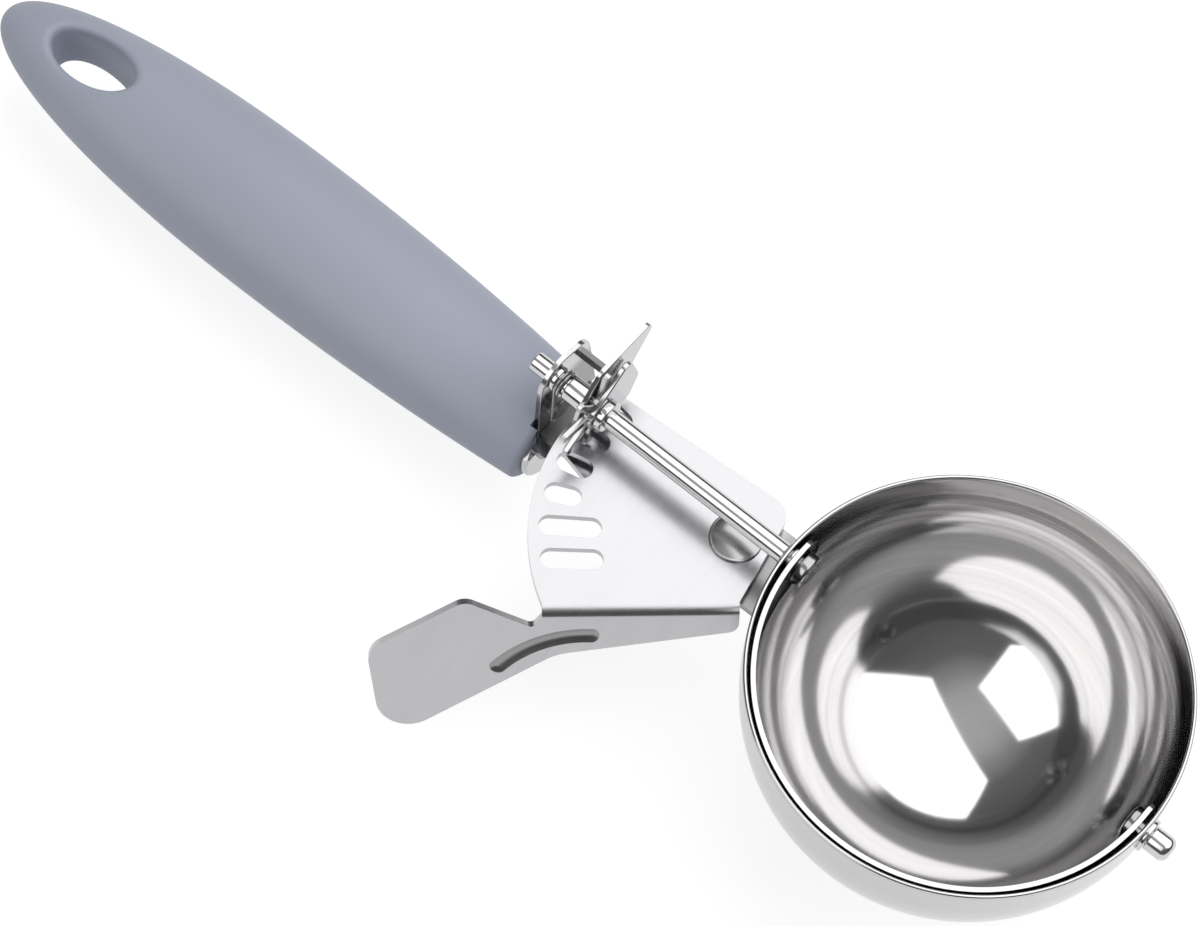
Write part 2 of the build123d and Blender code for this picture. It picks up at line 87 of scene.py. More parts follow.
class Signal:  # a socket; arithmetic on it adds Math nodes
    def __init__(self, nodes, socket):
        self.nodes = nodes
        self.socket = socket

    def __add__(self, other):
        return self.nodes.maths("ADD", self, other)

    def __sub__(self, other):
        return self.nodes.maths("SUBTRACT", self, other)

    def __rsub__(self, other):
        return self.nodes.maths("SUBTRACT", other, self)

    def __mul__(self, other):
        return self.nodes.maths("MULTIPLY", self, other)

    def __truediv__(self, other):
        return self.nodes.maths("DIVIDE", self, other)

    def __rtruediv__(self, other):
        return self.nodes.maths("DIVIDE", other, self)

    def __pow__(self, other):
        return self.nodes.maths("POWER", self, other)

    def __rpow__(self, other):
        return self.nodes.maths("POWER", other, self)

    def __gt__(self, other):  # 1 where it is so, and 0 elsewhere
        return self.nodes.maths("GREATER_THAN", self, other)

    def __lt__(self, other):
        return self.nodes.maths("LESS_THAN", self, other)

    def atLeast(self, other):
        return self.nodes.maths("MAXIMUM", self, other)

    def atMost(self, other):
        return self.nodes.maths("MINIMUM", self, other)

    __radd__ = __add__
    __rmul__ = __mul__


class Nodes:  # a node tree, emptied, and the one way to add a node to it
    def __init__(self, tree):
        self.tree = tree
        tree.nodes.clear()

    def add(self, kind, settings=None, sockets=None, out=0):  # "stops" are a ramp's (place, grey) pairs
        made = self.tree.nodes.new(kind)
        for name, value in (settings or {}).items():
            if name == "stops":
                self.setStops(made.color_ramp, *value)
            else:
                setattr(made, name, value)
        for name, value in (sockets or {}).items():
            if isinstance(value, Signal):
                self.tree.links.new(value.socket, made.inputs[name])
            else:
                made.inputs[name].default_value = value
        return Signal(self, made.outputs[out] if made.outputs else None)

    def setStops(self, ladder, stops, smooth):
        ladder.interpolation = smooth
        while len(ladder.elements) < len(stops):
            ladder.elements.new(1.0)
        for element, (place, grey) in zip(ladder.elements, stops):
            element.position = place
            element.color = (grey, grey, grey, 1)

    def maths(self, operation, first, second):
        return self.add("ShaderNodeMath", {"operation": operation}, {0: first, 1: second})

    def vectorMaths(self, operation, sockets, out="Vector"):
        return self.add("ShaderNodeVectorMath", {"operation": operation}, sockets, out)

    def ramp(self, factor, stops, smooth="LINEAR"):
        return self.add("ShaderNodeValToRGB", {"stops": (stops, smooth)}, {0: factor})


class Finish(Nodes):  # a material with one shader; fixed values are set on the shader's own sockets
    def __init__(self, name, **fixed):
        self.material = bpy.data.materials.new(name)
        self.material.use_nodes = True
        super().__init__(self.material.node_tree)
        values = {socket.replace("_", " "): value for socket, value in fixed.items()}
        self.shader = self.add("ShaderNodeBsdfPrincipled", sockets=values)

    def done(self, surface=None):  # the material, which shows its own shader or another surface
        self.add("ShaderNodeOutputMaterial", sockets={0: surface or self.shader})
        return self.material

    def drive(self, socket, signal):
        self.tree.links.new(signal.socket, self.shader.socket.node.inputs[socket])

    def here(self):  # object coordinates, in metres
        return self.add("ShaderNodeTexCoord", out="Object")

    def along(self, axis):
        return self.add("ShaderNodeSeparateXYZ", sockets={0: self.here()}, out=axis)

    def noise(self, vector, scale, detail=3.0, rough=0.55):
        sockets = {"Vector": vector, "Scale": scale, "Detail": detail, "Roughness": rough}
        return self.add("ShaderNodeTexNoise", sockets=sockets)

    def blend(self, share, first, second):  # from the first colour to the second; sockets 6 and 7 are colours
        start, end = ((*colour, 1) if isinstance(colour, tuple) else colour for colour in (first, second))
        return self.add("ShaderNodeMix", {"data_type": "RGBA"}, {0: share, 6: start, 7: end}, out=2)

    def bump(self, height, look):
        sockets = {"Height": height, "Strength": look["bump"], "Distance": look["bumpDeep"] * mm}
        self.drive("Normal", self.add("ShaderNodeBump", sockets=sockets))


def linear(red, green, blue):
    # 0 to 255 display colour to scene colour: a straight line near black, then a power of 2.4
    seen = np.array((red, green, blue)) / 255
    return tuple(np.where(seen < 0.04045, seen / 12.92, ((seen + 0.055) / 1.055) ** 2.4))


rampLong = 100.0  # the length that a ramp along the scoop runs over

bowlLook = {
    "inner": (0.8, 0.79, 0.79),
    "streak": (0.44, 0.436, 0.436),
    "outer": (0.55, 0.548, 0.552),
    "polish": 0.075,
    "spunPolish": 0.1,  # roughness where the spinning marks are strong
    "blotch": 60.0,
    "blotchRough": 0.02,
    "ball": 30.0,
    "spun": ((0.0, 0.0), (0.3, 0.1), (0.5, 1.0)),  # how strong, from 0 at the bottom to 0.5 at the middle
    "innerSide": ((0.3015, 1.0), (0.303, 0.0)),  # by distance from the ball's centre
    "lines": 20.0,
    "lineDetail": 5.0,
    "lineRough": 0.62,
    "drift": 40.0,
    "driftFar": 0.02,  # how far a line strays, which lets it fade along its circle
    "contrast": 8.0,  # of the streaks where spinning marks are strong
    "faint": 0.1,  # and elsewhere
    "streakShare": 0.25,
    "bump": 0.35,
    "bumpDeep": 0.05,
    "bumpFaint": 0.08,
}


def spunSteel(look):
    # mirror polish; on the inside, noise of the latitude mixes streaks in, more and more towards the rim
    finish = Finish("spunSteel", Metallic=1.0)
    place, height = finish.here(), finish.along("Z")
    up = (height / (look["ball"] * mm)).atLeast(-1.0)
    latitude = finish.add("ShaderNodeMath", {"operation": "ARCSINE"}, {0: up.atMost(1.0)})
    drift = finish.noise(place, look["drift"], detail=1.0) * look["driftFar"]
    circles = finish.add("ShaderNodeCombineXYZ", sockets={1: drift, 2: latitude})
    lines = finish.noise(circles, look["lines"], look["lineDetail"], look["lineRough"])
    blotch = finish.noise(place, look["blotch"], detail=2.0)
    rimward = finish.ramp(up * 0.5 + 0.5, look["spun"], "EASE")
    level = finish.vectorMaths("MULTIPLY", {0: place, 1: (1, 1, 0)})
    aside = finish.vectorMaths("LENGTH", {0: level}, out="Value")
    centreward = ((aside**2.0 + height.atMost(0.0) ** 2.0) ** 0.5) / (rampLong * mm)
    inside = finish.ramp(centreward, look["innerSide"])
    brushed = rimward * inside
    streaks = (lines - 0.5) * (brushed * look["contrast"] + look["faint"]) + look["streakShare"]
    inner = finish.blend(streaks, look["inner"], look["streak"])
    rough = look["polish"] + rimward * (look["spunPolish"] - look["polish"]) + blotch * look["blotchRough"]
    finish.drive("Base Color", finish.blend(inside, look["outer"], inner))
    finish.drive("Roughness", rough)
    finish.bump(lines * (brushed * (1 - look["bumpFaint"]) + look["bumpFaint"]), look)
    return finish.done()


satinLook = {
    "tint": (0.53, 0.527, 0.542),
    "rough": 0.24,
    "spread": 0.1,  # of the roughness along the grain
    "grain": (900, 60, 60),
    "grainTurn": (0, 0, 0.75),  # radians
    "cloud": 90.0,
    "cloudRough": 0.06,
    "bump": 0.08,
    "bumpDeep": 0.02,
}
# painted shade: the groove's walls are painted darker than the lever
grooveShadeLook = {**satinLook, "tint": (0.325, 0.325, 0.332), "rough": 0.3, "spread": 0.2}
# painted shade: the saddle is painted much darker than the lever's steel
shadedSaddleLook = {**satinLook, "tint": (0.2, 0.2, 0.205), "grain": (60, 900, 60), "grainTurn": (0, 0, 0)}
plateLook = {
    **shadedSaddleLook,
    "tint": satinLook["tint"],
    # painted shade: the plate is painted darker from here towards the bowl
    "shadeFrom": -37.0,
    "shadeTo": -33.5,
    "shadeTint": (0.28, 0.28, 0.286),
}


def satinSteel(name, look):  # stamped sheet; its grain is noise stretched along one direction
    finish = Finish(name, Metallic=1.0, Base_Color=(*look["tint"], 1))
    sockets = {"Vector": finish.here(), "Scale": look["grain"], "Rotation": look["grainTurn"]}
    stretched = finish.add("ShaderNodeMapping", sockets=sockets)
    grain = finish.noise(stretched, 1.0, detail=4.0, rough=0.6)
    cloud = finish.noise(finish.here(), look["cloud"], detail=2.0)
    rough = look["rough"] + (grain - 0.5) * look["spread"] + (cloud - 0.5) * look["cloudRough"]
    finish.drive("Roughness", rough)
    finish.bump(grain, look)
    if "shadeTint" in look:  # painted shade: darker towards the bowl, next to the saddle
        stops = ((1 + look["shadeFrom"] / rampLong, 0.0), (1 + look["shadeTo"] / rampLong, 1.0))
        paintedShade = finish.ramp(finish.along("X") / (rampLong * mm) + 1.0, stops, "EASE")
        finish.drive("Base Color", finish.blend(paintedShade, look["tint"], look["shadeTint"]))
    return finish.done()


brightLook = {"cloud": 350.0, "cloudRough": 0.05, "bump": 0.03, "bumpDeep": 0.02}


def brightSteel(name, tint, rough):  # turned or polished pieces, with a fine cloud in their polish
    finish = Finish(name, Metallic=1.0, Base_Color=(*tint, 1))
    cloud = finish.noise(finish.here(), brightLook["cloud"])
    finish.drive("Roughness", rough + cloud * brightLook["cloudRough"])
    finish.bump(cloud, brightLook)
    return finish.done()


# painted shade: the part inside the bowl is painted darker than the part outside
pinLook = {"inside": 0.33, "outside": 0.62, "turnsAt": (29.6, 30.4), "rough": 0.12}


def shadedPinSteel(look):  # bright outside the bowl; painted shade: darker on the blade's head inside it
    finish = Finish("shadedPinSteel", Metallic=1.0)
    first, last = (place / rampLong for place in look["turnsAt"])
    across = finish.along("X") / (rampLong * mm)
    cloud = finish.noise(finish.here(), brightLook["cloud"])
    finish.drive("Base Color", finish.ramp(across, ((first, look["inside"]), (last, look["outside"]))))
    finish.drive("Roughness", look["rough"] + cloud * brightLook["cloudRough"])
    return finish.done()


bracketLook = {
    # low and high are the tones of the painted shade, from round the spring up to the top of the ears
    "low": 0.2,
    "high": 0.56,
    "between": (-4.5, -0.5),
    "shadeRampHigh": 20.0,  # the height that its painted shade ramp runs over, half of it below the spindle
    "rough": 0.14,
    "bridge": (-72.4, -66.45),
    "bridgeShadeTone": 0.26,
    "bridgeRough": 0.45,
    "cloud": 250.0,
    "cloudTone": 0.08,
    "cloudRough": 0.06,
    "bump": 0.04,
    "bumpDeep": 0.02,
}


def shadedBracketSteel(look):
    # bright at the top of the ears; painted shade: darker round the spring below, and darker and rougher on the
    # bridge between them
    finish = Finish("shadedBracketSteel", Metallic=1.0)
    up = finish.along("Z") / (look["shadeRampHigh"] * mm) + 0.5
    along = finish.along("X")
    first, last = (place * mm for place in look["bridge"])
    bridge = (along > first) * (along < last)
    cloud = finish.noise(finish.here(), look["cloud"])
    low, high = (0.5 + place / look["shadeRampHigh"] for place in look["between"])
    stops = ((low, look["low"]), (high, look["high"]))
    # painted shade: darker towards the bottom, round the spring
    tone = finish.ramp(up + (cloud - 0.5) * look["cloudTone"], stops, "EASE")
    rough = look["rough"] + bridge * (look["bridgeRough"] - look["rough"]) + cloud * look["cloudRough"]
    # painted shade: the bridge between the ears is painted darker
    finish.drive("Base Color", finish.blend(bridge, tone, (look["bridgeShadeTone"],) * 3))
    finish.drive("Roughness", rough)
    finish.bump(cloud, look)
    return finish.done()


gripLook = {
    "colour": linear(169, 174, 189),
    "shade": linear(161, 166, 182),
    "rough": 0.5,
    "bends": 1.46,  # refractive index
    "grain": 2600.0,
    "grainRough": 0.12,
    "cloud": 25.0,
    "bump": 0.12,
    "bumpDeep": 0.04,
}


def mouldedPlastic(look):  # soft-touch grey-blue plastic with a very fine spark texture
    finish = Finish("mouldedPlastic", IOR=look["bends"])
    grain = finish.noise(finish.here(), look["grain"], detail=4.0, rough=0.6)
    cloud = finish.noise(finish.here(), look["cloud"], detail=2.0)
    finish.drive("Base Color", finish.blend(cloud, look["shade"], look["colour"]))
    finish.drive("Roughness", look["rough"] + (grain - 0.5) * look["grainRough"])
    finish.bump(grain, look)
    return finish.done()


finishes = {
    "bowl": spunSteel(bowlLook),
    "lever": satinSteel("leverSteel", satinLook),
    "pressed": satinSteel("pressedSteel", grooveShadeLook),
    "saddle": satinSteel("shadedSaddleSteel", shadedSaddleLook),
    "plate": satinSteel("plateSteel", plateLook),
    "blade": brightSteel("bladeSteel", (0.6, 0.6, 0.6), 0.1),
    "turned": brightSteel("turnedSteel", (0.62, 0.62, 0.62), 0.1),
    # painted shade: the hub inside the bowl is darker than the other turned steel
    "hub": brightSteel("shadedHubSteel", (0.39, 0.39, 0.39), 0.16),
    "rivet": brightSteel("rivetSteel", (0.42, 0.42, 0.425), 0.2),
    "stamped": brightSteel("stampedSteel", (0.54, 0.54, 0.545), 0.16),
    "bracket": shadedBracketSteel(bracketLook),
    "pin": shadedPinSteel(pinLook),
    "wire": brightSteel("springWire", (0.42, 0.42, 0.43), 0.25),
    "grip": mouldedPlastic(gripLook),
}
print("finishes made:", len(finishes))


def span(node):  # a node's box in millimetres
    low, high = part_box(node)
    return np.array(low) / mm, np.array(high) / mm


def gridFaces(rows, columns):  # quads of a grid whose last column joins its first, row by row
    row, column = np.meshgrid(np.arange(rows - 1), np.arange(columns), indexing="ij")
    start, end = row * columns + column, row * columns + (column + 1) % columns
    return np.stack((start, start + columns, end + columns, end), axis=-1).reshape(-1, 4)


seam = {"closer": 2e-6, "sliver": 1e-7}  # metres: nearer vertices are one, and shorter edges go


def makePiece(name, node, grids, finish, sharp=35.0, caps=0):
    # the grids are joined and their seams merged; caps faces close the first grid's first row
    places, faces, start = [], [], 0
    for points in grids:
        rows, columns = points.shape[:2]
        places.append(points.reshape(-1, 3) * mm)
        faces += (gridFaces(rows, columns) + start).tolist()
        start += rows * columns
    faces += [list(range(grids[0].shape[1]))] * caps
    mesh = bpy.data.meshes.new(name)
    mesh.from_pydata(np.concatenate(places).tolist(), [], faces)
    finishPiece(name, node, mesh, finish, sharp)


def finishPiece(name, node, mesh, finish, sharp):
    # seams are merged, faces turned outwards and sharp edges marked, then the piece goes on its node's body
    body, slotName = bodyOf[node], slotOf[node]
    work = bmesh.new()
    work.from_mesh(mesh)
    bmesh.ops.remove_doubles(work, verts=work.verts, dist=seam["closer"])
    bmesh.ops.dissolve_degenerate(work, edges=work.edges, dist=seam["sliver"])
    bmesh.ops.recalc_face_normals(work, faces=work.faces)
    work.to_mesh(mesh)
    work.free()
    mesh.shade_smooth()
    mesh.set_sharp_from_angle(angle=sharp * pi / 180)
    mesh.materials.append(finishes[finish])
    piece = bpy.data.objects.new(name, mesh)
    bpy.context.scene.collection.objects.link(piece)
    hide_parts(node)
    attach(piece, body)
    return piece


def rounded(corners, radii, steps):
    # a polyline whose corners become arcs: from tangent point to tangent point about the centre, which
    # lies on the line that halves the corner
    corners = np.asarray(corners, float)
    path = []
    for index, radius in enumerate(radii):
        here = corners[index]
        if radius == 0:
            path.append(here[None, :])
            continue
        before = corners[index - 1] - here
        after = corners[(index + 1) % len(corners)] - here
        before = before / np.linalg.norm(before)
        after = after / np.linalg.norm(after)
        half = np.arccos(np.clip(before @ after, -1, 1)) / 2
        centre = here + (before + after) / np.linalg.norm(before + after) * radius / np.sin(half)
        first = here + before * radius / np.tan(half) - centre
        last = here + after * radius / np.tan(half) - centre
        sweep = np.linspace(0, 1, steps + 1)[:, None]
        spread = np.arccos(np.clip(first @ last / radius**2, -1, 1))
        arc = (first * np.sin((1 - sweep) * spread) + last * np.sin(sweep * spread)) / np.sin(spread)
        path.append(centre + arc)
    return np.concatenate(path)


def closed(profile):  # ends where it starts
    return np.concatenate((profile, profile[:1]))


def turned(profile, around="X", centre=(0, 0, 0), steps=72):
    # profile rows are (place along the axis, radius); the second parameter is the angle round the axis
    angle = np.arange(steps) * 2 * pi / steps
    along = profile[:, :1] + 0 * angle
    across = profile[:, 1:] * np.cos(angle)
    beside = profile[:, 1:] * np.sin(angle)
    order = {"X": (along, across, beside), "Z": (across, beside, along)}[around]
    return np.stack(order, axis=-1) + np.asarray(centre, float)


bowl = {
    "inner": 30.0,
    "wall": 0.6,
    "rim": 4.8,
    "rimRound": 0.29,
    "rimSteps": 8,
    "wallSteps": 6,
    "arcSteps": 70,
    "around": 288,
    "sharp": 60,
}
bowlOuter = bowl["inner"] + bowl["wall"]


def bowlProfile(size):  # quarter circle up the inside, over the rim, quarter circle down the outside
    inner, outer = size["inner"], size["inner"] + size["wall"]
    turn = np.linspace(0, pi / 2, size["arcSteps"])
    inside = np.stack((-inner * np.cos(turn), inner * np.sin(turn)), axis=-1)
    outside = np.stack((-outer * np.cos(turn[::-1]), outer * np.sin(turn[::-1])), axis=-1)
    rimCorners = ((0, inner), (size["rim"], inner), (size["rim"], outer), (0, outer))
    rim = rounded(rimCorners, (0, size["rimRound"], size["rimRound"], 0), size["rimSteps"])
    steps = np.linspace(0, 1, size["wallSteps"] + 1)[1:, None]
    up = inside[-1] + (rim[1] - inside[-1]) * steps
    down = rim[-2] + (outside[0] - rim[-2]) * steps
    return np.concatenate((inside, up, rim[2:-2], down, outside[1:]))


bowlGrid = turned(bowlProfile(bowl), "Z", steps=bowl["around"])
makePiece("bowlShell", "bowl_shell", [bowlGrid], "bowl", bowl["sharp"])
print("bowl made")

rod = {"radius": 1.5, "edges": (0.25, 0.4)}
rings = {
    "rearCollar": {"node": "rear_collar", "edges": (0.2, 0.2), "finish": "turned", "slimmer": 0.0},
    "spindleSleeve": {"node": "spindle_sleeve", "edges": (0.25, 0.25), "finish": "turned", "slimmer": 0.0},
    "frontCollar": {"node": "front_collar", "edges": (0.2, 0.3), "finish": "turned", "slimmer": 0.0},
    "nearBladeHub": {"node": "near_blade_hub", "edges": (0.25, 0.5), "finish": "hub", "slimmer": 0.6},
}


def ringPiece(name, size):  # a rectangle with rounded outer corners, turned about the spindle's axis
    low, high = span(size["node"])
    radius = (high[2] - low[2]) / 2 - size["slimmer"]
    bore = rod["radius"]
    corners = ((low[0], bore), (low[0], radius), (high[0], radius), (high[0], bore))
    profile = rounded(corners, (0, *size["edges"], 0), 5)
    makePiece(name, size["node"], [turned(closed(profile))], size["finish"])


for name, size in rings.items():
    ringPiece(name, size)

bush = {
    "boss": 2.5,
    "spigot": 2.16,
    "proud": 0.25,
    "edge": 0.2,
    "lip": 0.1,
    "nearBore": 1.56,
    "farBore": 1.31,
}


def bushPiece(name, node, side, bore):
    # a step down from the boss outside the bowl to the spigot through its wall, turned; side is -1 or 1
    low, high = span(node)
    outerEnd = low[0] if side < 0 else high[0]
    innerEnd = side * (bowl["inner"] - bush["proud"])
    corners = (
        (outerEnd, bore),
        (outerEnd, bush["boss"]),
        (side * bowlOuter, bush["boss"]),
        (side * bowlOuter, bush["spigot"]),
        (innerEnd, bush["spigot"]),
        (innerEnd, bore),
    )
    profile = rounded(corners, (0, bush["edge"], 0, 0, bush["lip"], 0), 4)
    makePiece(name, node, [turned(closed(profile))], "turned")


bushPiece("nearBowlBush", "near_bowl_bush", -1, bush["nearBore"])
bushPiece("farBowlBush", "far_bowl_bush", 1, bush["farBore"])


def rodPiece(name, node, corners, radii, finish):  # an outline from pole to pole, turned about the X axis
    makePiece(name, node, [turned(rounded(corners, radii, 8))], finish)


rodLow, rodHigh = span("spindle")
rodPiece(
    "spindleRod",
    "spindle",
    ((rodLow[0], 0), (rodLow[0], rod["radius"]), (rodHigh[0], rod["radius"]), (rodHigh[0], 0)),
    (0, *rod["edges"], 0),
    "turned",
)

farPin = {
    "head": 2.5,
    "headLong": 1.2,
    "headEnd": 1.7,  # from the pin's inner end
    "headEdges": (0.55, 0.1),
    "shank": 1.25,
    "nose": 1.85,
    "noseFrom": 31.2,
    "noseEdges": (0.15, 1.15),
}
pinLow, pinHigh = span("far_pivot_pin")
headEnd = pinLow[0] + farPin["headEnd"]
rodPiece(
    "farPivotPin",
    "far_pivot_pin",
    (
        (headEnd - farPin["headLong"], 0),
        (headEnd - farPin["headLong"], farPin["head"]),
        (headEnd, farPin["head"]),
        (headEnd, farPin["shank"]),
        (farPin["noseFrom"], farPin["shank"]),
        (farPin["noseFrom"], farPin["nose"]),
        (pinHigh[0], farPin["nose"]),
        (pinHigh[0], 0),
    ),
    (0, *farPin["headEdges"], 0, 0, *farPin["noseEdges"], 0),
    "pin",
)

leverPivot = -39.3  # x of the lever's axis
rivet = {
    "headBottom": -6.125,
    "rise": 0.9,  # of the head, and the tail's thickness
    "dome": 0.58,
    "edge": 0.25,
    "head": 3.85,
    "shank": 2.0,
    "tail": 3.0,
    "tailTop": -9.9,
    "tailEdge": 0.1,
    "capSteps": 16,
    "edgeSteps": 8,
    "around": 96,
}


def rivetProfile(size):
    # a low spherical cap, a quarter circle down its edge, a short shank, then a tail with a rounded edge
    top, reach = size["headBottom"] + size["rise"], size["head"] - size["edge"]
    ball = (reach**2 + size["dome"] ** 2) / (2 * size["dome"])
    swing = np.linspace(0, np.arcsin(reach / ball), size["capSteps"])
    cap = np.stack((top - ball * (1 - np.cos(swing)), ball * np.sin(swing)), axis=-1)
    turn = np.linspace(np.arcsin(reach / ball), pi / 2, size["edgeSteps"])[1:]
    edgeLow = top - size["dome"] - size["edge"] * np.cos(turn[0])
    edge = np.stack((edgeLow + size["edge"] * np.cos(turn), reach + size["edge"] * np.sin(turn)), axis=-1)
    edge[:, 1] = np.minimum(edge[:, 1], size["head"])
    foot = size["tailTop"] - size["rise"]
    corners = (
        (size["headBottom"], size["head"]),
        (size["headBottom"], size["shank"]),
        (size["tailTop"], size["shank"]),
        (size["tailTop"], size["tail"]),
        (foot, size["tail"]),
        (foot, 0),
    )
    tail = rounded(corners, (0, 0, 0, size["tailEdge"], size["rise"] / 2, 0), 6)
    return np.concatenate((cap, edge, tail))


rivetGrid = turned(rivetProfile(rivet), "Z", (leverPivot, 0, 0), rivet["around"])
makePiece("pivotRivet", "pivot_rivet", [rivetGrid], "rivet")

washer = {"bore": 2.02, "radius": 4.5, "edge": 0.15, "around": 96}
washerLow, washerHigh = span("pivot_washer")
washerCorners = (
    (washerLow[2], washer["bore"]),
    (washerLow[2], washer["radius"]),
    (washerHigh[2], washer["radius"]),
    (washerHigh[2], washer["bore"]),
)
washerProfile = closed(rounded(washerCorners, (0, washer["edge"], washer["edge"], 0), 4))
washerGrid = turned(washerProfile, "Z", (leverPivot, 0, 0), washer["around"])
makePiece("pivotWasher", "pivot_washer", [washerGrid], "turned")
print("turned pieces made")

spring = {
    "x": -71.23,
    "wire": 0.22,
    "coil": 1.9,
    "turns": 2,
    "pitch": 0.5,
    "studY": 0.1,
    "drop": 8.7,
    "hook": 2.0,
    "hookTurns": (480, 180),
    "hookSteps": 70,
    "legSteps": 30,
    "turnSteps": 48,
    "sharp": 50,
}


def springPath(size):  # arc of the hook, straight leg up, then a helix round the spindle
    first, last = size["hookTurns"]
    hook = np.linspace(first, last, size["hookSteps"]) * pi / 180
    hookY = size["studY"] + size["hook"] * np.cos(hook)
    hookZ = size["hook"] * np.sin(hook) - size["drop"]
    bent = np.stack((0 * hook, hookY, hookZ), axis=-1)
    rise = np.linspace(0, 1, size["legSteps"])[1:-1, None]
    leg = bent[-1] + (np.array((0, -size["coil"], 0)) - bent[-1]) * rise
    swing = np.linspace(0, 2 * pi * size["turns"], size["turnSteps"] * size["turns"])
    advance = size["pitch"] * swing / (2 * pi)
    coil = np.stack((advance, -size["coil"] * np.cos(swing), size["coil"] * np.sin(swing)), axis=-1)
    return np.concatenate((bent, leg, coil)) + (size["x"], 0, 0)


def tube(path, radius, steps=14):  # circles square to the path; ends closed to a point
    tangent = np.gradient(path, axis=0)
    tangent /= np.linalg.norm(tangent, axis=1)[:, None]
    beside = np.cross(tangent, (1, 0, 0))
    beside /= np.linalg.norm(beside, axis=1)[:, None]
    over = np.cross(beside, tangent)
    angle = (np.arange(steps) * 2 * pi / steps)[:, None]
    circles = path[:, None] + radius * (beside[:, None] * np.cos(angle) + over[:, None] * np.sin(angle))
    ends = np.repeat(path[[0, -1]][:, None], steps, axis=1)
    return np.concatenate((ends[:1], circles, ends[1:]))


springGrid = tube(springPath(spring), spring["wire"])
makePiece("returnSpring", "return_spring", [springGrid], "wire", spring["sharp"])
print("spring made")

grip = {
    "start": (-72.1, 0.0, -16.8),
    "tilt": 0.9,
    "length": 108.2,
    "blunt": 2.15,
    "widest": 53.3,
    "half": 8.5,
    "frontHalf": 6.6,
    "widen": 1.4,
    "edge": 0.8,
    "edgeRows": 7,
    "recess": 1.25,
    "recessLow": 2.25,
    "recessLeft": -3.9,
    "recessSteps": (6, 4, 14, 4, 4, 8),
    "tangHalf": 5.05,
    "tangLow": 0.85,
    "settle": 14,  # behind the recess, until the columns are evenly spread again
    "ringEnd": 72.0,
    "rings": 60,
    "holeAt": 90.0,
    "holeHalf": (7.7, 3.9),
    "lip": 1.6,
    "lipRows": 9,
    "flatRows": 26,
    "wallRows": 6,
    "outline": 120,
    "columns": 160,
    "firstColumn": 9,
    "sharp": 40,
}


def gripRadius(along, size):  # circular arc up to the widest place, then a blunt quarter ellipse to the tip
    swell = size["half"] - size["frontHalf"]
    bow = (size["widest"] ** 2 + swell**2) / (2 * swell)
    front = size["half"] - bow + np.sqrt(bow**2 - np.minimum(along - size["widest"], 0) ** 2)
    back = np.clip((along - size["widest"]) / (size["length"] - size["widest"]), 0, 1)
    return front * (1 - back ** size["blunt"]) ** (1 / size["blunt"])


def gripPlace(along, across, rise, size):  # from the handle's own directions to the shared frame
    tilt = size["tilt"] * pi / 180
    x = size["start"][0] - along * np.cos(tilt) - rise * np.sin(tilt)
    z = size["start"][2] - along * np.sin(tilt) + rise * np.cos(tilt)
    return np.stack((x, across + size["start"][1], z), axis=-1)


def gripBar(size):
    # ellipses of width cos and height sin of the angle; in the front part the columns of the
    # recessed sector follow its straight edges, and step out to the ellipse at the recess's depth
    count, back = size["columns"], gripRadius(np.array(size["recess"]), size)
    right = np.arcsin(size["recessLow"] / back)
    left = np.arccos(size["recessLeft"] / (size["widen"] * back))
    corners = np.array((
        (size["widen"] * back * np.cos(right), size["recessLow"]),
        (size["tangHalf"], size["recessLow"]),
        (size["tangHalf"], size["tangLow"]),
        (-size["tangHalf"], size["tangLow"]),
        (-size["tangHalf"], size["recessLow"]),
        (size["recessLeft"], size["recessLow"]),
        (size["recessLeft"], back * np.sin(left)),
    ))
    edge = np.concatenate([
        corners[index] + (corners[index + 1] - corners[index]) * np.arange(steps)[:, None] / steps
        for index, steps in enumerate(size["recessSteps"])
    ])
    sector = len(edge)
    special = np.concatenate((
        right + (left - right) * np.arange(sector) / sector,
        np.linspace(left, 2 * pi + right, count - sector + 1)[:-1],
    ))
    even = (np.arange(count) + size["firstColumn"]) * 2 * pi / count
    rounding = np.linspace(0, pi / 2, size["edgeRows"])
    frontRows = size["edge"] * (1 - np.cos(rounding))
    inset = size["edge"] * (1 - np.sin(rounding))
    rows = []
    for along, pull in [*zip(frontRows, inset), (size["recess"], 0.0)]:
        radius = gripRadius(np.array(along), size) - pull
        ring = np.stack((size["widen"] * radius * np.cos(special), radius * np.sin(special)), axis=-1)
        ring[:sector] = edge
        rows.append(gripPlace(along, ring[:, 0], ring[:, 1], size))
    behind = np.linspace(size["recess"], size["ringEnd"], size["rings"])[1:]
    along = np.concatenate(([size["recess"]], behind))[:, None]
    blend = np.clip((along - size["recess"]) / size["settle"], 0, 1)
    angle = special + (even - special) * blend**2 * (3 - 2 * blend)
    radius = gripRadius(along, size)
    across, rise = size["widen"] * radius * np.cos(angle), radius * np.sin(angle)
    return np.concatenate((np.stack(rows), gripPlace(along + 0 * angle, across, rise, size)))


